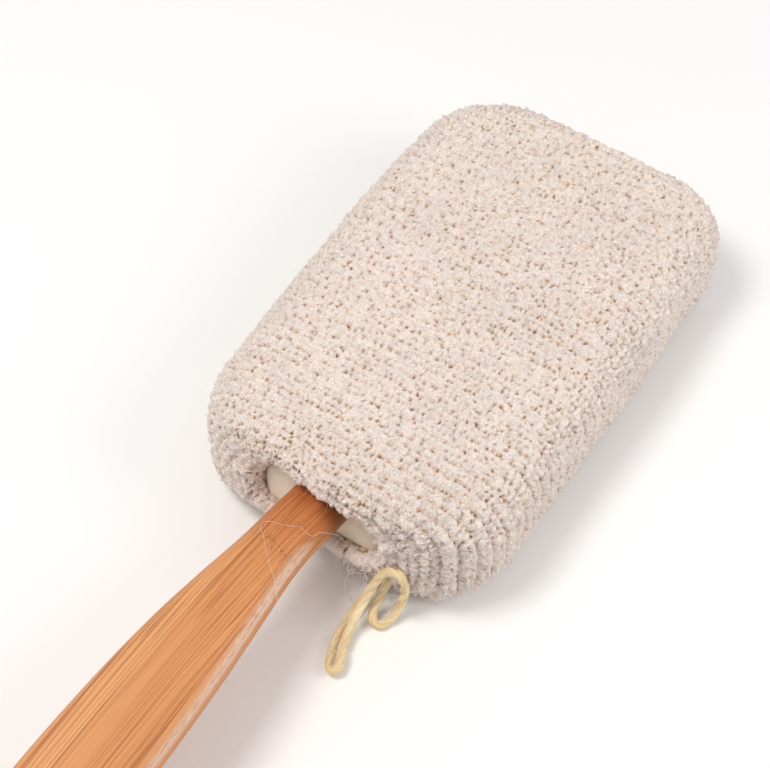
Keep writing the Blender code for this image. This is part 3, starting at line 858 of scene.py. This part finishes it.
def rounded_outline(half_width, half_height, radius, corner_steps, wide_steps, tall_steps):
    """(y, z) round a rounded rectangle, always in the same number and order."""
    radius = min(radius, 0.96 * half_width, 0.96 * half_height)
    points = []
    inner_y, inner_z = half_width - radius, half_height - radius
    corners = ((inner_y, inner_z), (-inner_y, inner_z), (-inner_y, -inner_z), (inner_y, -inner_z))
    for number, (y, z) in enumerate(corners):
        for k in range(corner_steps + 1):
            turn = 0.5 * math.pi * (number + k / corner_steps)
            points.append((y + radius * math.cos(turn), z + radius * math.sin(turn)))
        steps = wide_steps if number % 2 == 0 else tall_steps
        next_y, next_z = corners[(number + 1) % 4]
        turn = 0.5 * math.pi * (number + 1)
        goal = (next_y + radius * math.cos(turn), next_z + radius * math.sin(turn))
        last = points[-1]
        for k in range(1, steps):
            points.append(tuple(a + (b - a) * k / steps for a, b in zip(last, goal)))
    return np.array(points)


def ring_at(x, outline, height):
    """The outline's (y, z) stood up at x, with its middle at a height."""
    return np.column_stack([np.broadcast_to(x, len(outline)), outline[:, 0], height + outline[:, 1]])


def apply_modifiers(made):
    bpy.context.view_layer.update()
    shape = bpy.data.meshes.new_from_object(made.evaluated_get(bpy.context.evaluated_depsgraph_get()))
    old = made.data
    made.modifiers.clear()
    made.data = shape
    bpy.data.meshes.remove(old)


def cut(made, cutter, operation="DIFFERENCE"):
    step = made.modifiers.new("cut", "BOOLEAN")
    step.operation = operation
    step.solver = "EXACT"
    step.object = cutter
    apply_modifiers(made)
    bpy.data.objects.remove(cutter, do_unlink=True)


def handle_rings(step, growth, steps):
    """Rings of the handle's skin from the tang's tip to the far end."""
    ends = HANDLE_SHAPE[:, 0]
    places = []
    for start, end in zip(ends, ends[1:]):
        count = max(2, math.ceil((start - end) / step))
        places += [start + (end - start) * k / count for k in range(count)]
    rings = []
    for x in (*places, ends[-1]):
        height, width, thickness = handle_at(x)
        half_width, half_height = 0.5 * width + growth, 0.5 * thickness + growth
        outline = rounded_outline(half_width, half_height, HANDLE_ROUND + growth, *steps)
        crown = CROWN * np.clip(1.0 - (outline[:, 0] / (0.5 * width)) ** 2, 0.0, 1.0)
        ring = ring_at(x, outline, height)
        ring[:, 2] += np.sign(outline[:, 1]) * crown * (not growth)
        rings.append(ring)
    return np.array(rings)


def capped(name, rings, stuff):
    """A closed skin over a stack of rings."""
    return new_mesh(name, rings.reshape(-1, 3), tube_faces(*rings.shape[:2]), stuff)


def build_handle(stuff):
    """The handle, and for each of its points the grain and how much of each mark it bears."""
    handle = capped("bamboo_handle_look", handle_rings(0.0016, 0.0, (9, 24, 3)), stuff)
    cut(handle, hole_cutter(stuff))
    points = np.array([vertex.co for vertex in handle.data.vertices])
    x, y, z = points.T
    inside = np.clip(x, HANDLE_SHAPE[-1][0] + 0.0001, HANDLE_SHAPE[0][0] - 0.0001)
    centre, width, thickness = np.array([handle_at(place) for place in inside]).T
    level = z - centre
    edge = 0.5 * width - np.abs(y)
    flank = 1.0 - tapered(edge, 0.0004, 0.0034)
    across = (1.0 - flank) * y + flank * np.sign(y) * 0.012
    store(handle, "grain", np.column_stack([x, across, level]))
    neck = bell(x, 0.058, 0.022) * (x > -0.02)
    store(handle, "neck", neck * (1.0 - 0.8 * flank * (level < 0.002)))
    # Painted shade on the handle's -Y side where the upper lip overhangs it, just outside the mouth.
    store(handle, "lip_shade", bell(x, 0.0585, 0.0048) * tapered(-y, 0.0005, 0.0070))
    wander = 0.0024 * np.sin(170.0 * y) + 0.0008 * np.sin(1500.0 * y + 0.6)
    knuckle = bell(x, 0.0385 + wander, 0.0013)
    knuckle = np.maximum(knuckle, 0.5 * bell(x, 0.0455 - wander, 0.0030))
    store(handle, "knuckle", knuckle * tapered(level, 0.0, 0.002))
    # Where the -Y shoulder is lightened: partly wear, partly a painted highlight along its rounded edge.
    depth = 0.0023 + 0.0017 * tapered(0.030 - x, 0.0, 0.060)
    away = np.hypot(edge - 0.0003 - 2.0 * (y > 0.0), level - 0.5 * thickness + depth)
    reach = 0.0019 * tapered(0.052 - x, 0.0, 0.012) + 0.0002
    wear_and_highlight = np.exp(-((away / reach) ** 4)) * tapered(0.050 - x, 0.0, 0.010)
    store(handle, "wear_and_highlight", wear_and_highlight * tapered(x, -0.17, -0.09))
    handle.data.set_sharp_from_angle(angle=math.radians(40))
    return handle


def hole_cutter(stuff):
    """A pin with flared ends, which leaves a hole with eased rims."""
    height, _, thickness = handle_at(HOLE_X)
    half = 0.5 * thickness
    upper = ((half - 0.0010, 0.0), (half - 0.0004, 0.0003), (half + 0.0002, 0.0010), (0.02, 0.0010))
    lower = [(-z, flare) for z, flare in reversed(upper)]
    turn = np.linspace(0.0, TURN, 48, endpoint=False)
    rings = []
    for z, flare in (*lower, *upper):
        radius = HOLE_RADIUS + flare
        level = np.full(len(turn), height + z)
        rings.append(np.column_stack([HOLE_X + radius * np.cos(turn), radius * np.sin(turn), level]))
    return capped("hole_cutter", np.array(rings), stuff)


# ---- foam pad and glue

def lean_at(z):
    """How far the pad's near face is set back at the height z."""
    return PAD_LEAN * (z - MID_Z + MOUTH_HALF_HEIGHT) / (2.0 * MOUTH_HALF_HEIGHT)


def slab(low, high, near_x, stuff):
    """A cutter between two heights, behind a near face that leans."""
    corners = []
    for z in (low, high):
        front = near_x + lean_at(z)
        corners += [(front, -0.2, z), (0.4, -0.2, z), (0.4, 0.2, z), (front, 0.2, z)]
    sides = [(3, 2, 1, 0), (4, 5, 6, 7), (0, 1, 5, 4), (1, 2, 6, 5), (2, 3, 7, 6), (3, 0, 4, 7)]
    return new_mesh("slab", corners, sides, stuff, smooth=False)


def pad_nose(stuff):
    rings = []
    for back, inset in NOSE_SWELL:
        half_width, half_height = NOSE_HALF_WIDTH - inset, NOSE_HALF_HEIGHT - 0.1 * inset
        outline = rounded_outline(half_width, half_height, NOSE_ROUND, 8, 16, 3)
        x = NOSE_NEAR_X + back + lean_at(MID_Z + outline[:, 1])
        rings.append(ring_at(x, outline, MID_Z))
    return capped("nose", np.array(rings), stuff)


def pad_layer(name, low, high, stuff, with_tang):
    """One layer of the foam block, cut to its heights, with soft edges and a slightly uneven skin."""
    near, far = NEAR_X + PAD_INSET, FAR_X - PAD_INSET
    width, tall = HALF_WIDTH - PAD_INSET, HALF_HEIGHT - PAD_INSET
    near_edge, far_edge = PAD_EDGES
    turn = np.radians(np.linspace(10.0, 90.0, 14))
    near_part = corner_arc(near, 1.0, NEAR_CORNER - PAD_INSET, width, turn)
    far_part = corner_arc(far, -1.0, FAR_CORNER - PAD_INSET, width, turn)[::-1]
    rings = []
    for x, half_width in np.concatenate([near_part, far_part]):
        half_height = min(
            near_edge + (tall - near_edge) * rounding(x - near, NEAR_EDGE),
            far_edge + (tall - far_edge) * rounding(far - x, FAR_EDGE),
        )
        outline = rounded_outline(half_width, half_height, 0.010, 8, 16, 3)
        rings.append(ring_at(x, outline, MID_Z))
    block = capped(name, np.array(rings), stuff)
    cut(block, slab(-0.06, 0.06, PAD_NEAR_X, stuff), "INTERSECT")
    cut(block, pad_nose(stuff), "UNION")
    cut(block, slab(low, high, 0.0, stuff), "INTERSECT")
    if with_tang:
        skin = handle_rings(0.0065, 0.0003, (4, 4, 1))
        skin[0, :, 0] += 0.0003
        cut(block, capped("tang", skin, stuff))
    remesh = block.modifiers.new("remesh", "REMESH")
    remesh.mode = "VOXEL"
    remesh.voxel_size = 0.0011
    soften = block.modifiers.new("soften", "SMOOTH")
    soften.factor = 0.5
    soften.iterations = 3
    apply_modifiers(block)
    points = np.array([vertex.co for vertex in block.data.vertices])
    sag = np.array([
        0.00022 * noise.noise(Vector(point) * 70.0) + 0.00007 * noise.noise(Vector(point) * 420.0)
        for point in points
    ])
    normals = np.array([vertex.normal for vertex in block.data.vertices])
    free = (np.abs(points[:, 2] - PAD_JOINT_Z) > 0.0012).astype(float)
    points += (sag * free)[:, None] * normals
    block.data.vertices.foreach_set("co", points.ravel())
    block.data.shade_smooth()
    return block


def build_glue(stuff):
    """The squeezed-out bead: a hair-thin run along the joint, with a few spots on it."""
    spots = ((-0.0158, 0.0006), (-0.0148, 0.0009), (-0.0102, 0.0009), (0.0122, 0.0005), (0.0152, 0.0006))
    y = np.linspace(-0.0185, 0.0185, 260)
    x = NOSE_NEAR_X + lean_at(PAD_JOINT_Z) + 0.0028 * tapered(np.abs(y), 0.0135, 0.0205)
    small = np.array([noise.noise(Vector((7.3, 700.0 * k, 0.0))) for k in y])
    radii = GLUE_RADIUS + 0.00005 * small
    for place, size in spots:
        radii = np.maximum(radii, size * np.sqrt(np.clip(1.0 - ((y - place) / 0.0013) ** 2, 0.0, 1.0)))
    line = np.column_stack([x, y, PAD_JOINT_Z + 0.9 * (radii - GLUE_RADIUS) + 0.0001 * small])
    return tubes("pad_glue_look", [(line, radii)], 14, stuff)


# ---- twine

def twisted(centreline, share=1.0):
    """Three plies wound round the line, at a share of the twine's thickness, and the line itself."""
    line = resample(centreline, 0.00055)
    normals, binormals = carried_frames(line)
    along = np.arange(len(line)) * norm(line[1] - line[0])
    plies = []
    for number in range(3):
        turn = TURN * (along / LAY_LENGTH + number / 3.0)
        turn = (turn + 0.45 * np.sin(along * 210.0 + 2.0 * number))[:, None]
        reach = PLY_OFFSET * share * (1.0 + 0.06 * np.sin(along * 900.0 + number))
        path = line + reach[:, None] * (np.cos(turn) * normals + np.sin(turn) * binormals)
        thick = PLY_RADIUS * share * (1.0 + 0.05 * np.sin(along * 640.0 + 1.7 * number))
        plies.append((path, thick))
    return plies, line


def twine_hairs(line, count):
    """Fibre ends that have come loose from the twine."""
    normals, binormals = carried_frames(line)
    strands = []
    for _ in range(count):
        k = int(RANDOM.integers(10, len(line) - 30))
        angle = RANDOM.uniform(0.0, TURN)
        out = math.cos(angle) * normals[k] + math.sin(angle) * binormals[k]
        if line[k][2] < 0.003 and out[2] < 0.2:
            continue
        length = RANDOM.uniform(0.002, 0.006)
        way = unit(line[k + 8] - line[k]) + RANDOM.uniform(0.15, 0.7) * out
        share = np.linspace(0.0, 1.0, 6)[:, None]
        curl = 0.3 * length * RANDOM.normal(0.0, 1.0, 3) * share ** 2
        hair = line[k] + 0.00125 * out + share * length * unit(way) + curl
        hair[:, 2] = np.maximum(hair[:, 2], FLOOR_GAP)
        strands.append((hair, 0.00005))
    return strands


def drawcord_line():
    """The run behind the lip: round the mouth, and open where the knot sits."""
    outline = rounded_outline(DRAWCORD_HALF_WIDTH, DRAWCORD_HALF_HEIGHT, DRAWCORD_ROUND, 6, 14, 5)
    loop = ring_at(DRAWCORD_X + lean_at(MID_Z + outline[:, 1]), outline, MID_Z)
    away = norm(loop - np.array(KNOT_CENTRE), axis=1)
    shift = -int(np.argmin(away))
    return np.roll(loop, shift, axis=0)[np.roll(away, shift) > 0.0036]


def knot_line():
    """An overhand knot pulled tight: a trefoil squeezed to the knot's size."""
    turn = np.linspace(0.0, TURN, 90)
    x = np.sin(turn) + 2.0 * np.sin(2.0 * turn)
    y = np.cos(turn) - 2.0 * np.cos(2.0 * turn)
    z = -np.sin(3.0 * turn)
    return np.array(KNOT_CENTRE) + 0.00045 * np.column_stack([1.2 * z, x, y])


def build_twine(stuff, hair_stuff):
    centreline = smooth_route(TWINE_ROUTE)
    plies, line = twisted(centreline)
    loops = tubes("twine_loops_look", plies, 10, stuff)
    hairs = tubes("twine_hairs", twine_hairs(line, 90), 3, hair_stuff)
    plies, _ = twisted(drawcord_line(), 0.97)
    drawcord = tubes("drawcord_look", plies, 8, stuff)
    knot = tubes("drawcord_knot_look", [(knot_line(), 0.00085)], 10, stuff)
    return loops, hairs, drawcord, knot, line


def on_handle(route):
    """The route's (x, y) points laid on the handle's broad face."""
    points = []
    for x, y in route:
        height, _, thickness = handle_at(x)
        points.append((x, y, height + 0.5 * thickness + 0.00026))
    return points


def build_threads(stuff):
    """Two kinked threads on the handle's neck, and wisps of yarn that hang from the lower lip."""
    over_neck = on_handle(tenths(
        (492, -87), (465, -80), (463, -68), (474, -31), (467, -23),
        (457, -6), (449, 13), (439, 44), (425, 58), (405, 54),
    ))
    over_neck = [*tenths((578, -135, 160), (535, -112, 270)), *over_neck]
    down_neck = on_handle(tenths(
        (405, 54), (380, 21), (364, 9), (346, -11), (337, -20), (311, -48), (288, -78),
    ))
    down_neck += tenths((251, -112, 325), (228, -138, 290))
    kinked = [(resample(route, 0.0009), 0.000042) for route in (over_neck, down_neck)]
    strands = []
    hanging = (
        tenths((582, -122, 100), (556, -127, 80), (554, -134, 60),
               (530, -134, 40), (520, -144, 20), (512, -170, 9)),
        tenths((618, -170, 120), (589, -175, 80), (573, -179, 45)),
        tenths((586, -212, 60), (580, -238, 30), (572, -262, 12)),
    )
    lowest = 0.0004
    for route in hanging:
        line = resample(smooth_route(route, 8), 0.0006)
        line = line + RANDOM.normal(0.0, 0.00012, line.shape)
        line[:, 2] = np.maximum(line[:, 2], lowest)
        for _ in range(3):
            strands.append((line + RANDOM.normal(0.0, 0.00013, 3), 0.00013))
    ways = ((-1.0, 0.2), (-0.8, 0.8), (-1.0, 0.5))
    for _ in range(46):
        start = np.array((0.0578, RANDOM.uniform(-0.0230, -0.0070), RANDOM.uniform(0.0050, 0.0120)))
        way = unit(np.array([RANDOM.uniform(least, most) for least, most in ways]))
        share = np.linspace(0.0, 1.0, 7)[:, None]
        length = RANDOM.uniform(0.0015, 0.0042)
        line = start + share * length * way + share * (1.0 - share) * length * RANDOM.normal(0.0, 1.0, 3)
        line[:, 2] = np.maximum(line[:, 2], lowest)
        strands.append((line, RANDOM.uniform(0.00006, 0.00016)))
    return tubes("neck_threads", kinked, 5, stuff), tubes("lip_wisps", strands, 5, stuff)


# ---- put together

def main():
    make_camera()
    knit, bamboo, foam = knit_stuff(), bamboo_stuff(), foam_stuff()
    twine, glue, thread = twine_stuff(), glue_stuff(), thread_stuff()
    make_studio()

    loops, hairs, drawcord, knot, line = build_twine(twine, thread)
    for piece, node in ((loops, "twine_loops"), (drawcord, "drawcord"), (knot, "drawcord_knot")):
        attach(piece, "cover")
        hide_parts(node)
    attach(hairs, "cover")
    length = float(norm(np.diff(line, axis=0), axis=1).sum())

    panels, grains = build_cover(knit)
    fuzz = build_fuzz(grains, thread)
    neck_threads, lip_wisps = build_threads(thread)
    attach(neck_threads, "handle_and_pad")
    for piece in (*panels, fuzz, lip_wisps):
        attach(piece, "cover")
    for panel in panels:
        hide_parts("knit_cover")

    handle = build_handle(bamboo)
    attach(handle, "handle_and_pad")
    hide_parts("bamboo_handle")

    layers = (
        ("foam_pad_upper", PAD_JOINT_Z + 0.00015, 0.06, True),
        ("foam_pad_lower", -0.06, PAD_JOINT_Z - 0.00015, False),
    )
    for node, low, high, with_tang in layers:
        layer = pad_layer(f"{node}_look", low, high, foam, with_tang)
        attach(layer, "handle_and_pad")
        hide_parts(node)

    bead = build_glue(glue)
    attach(bead, "handle_and_pad")
    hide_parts("pad_glue")


main()
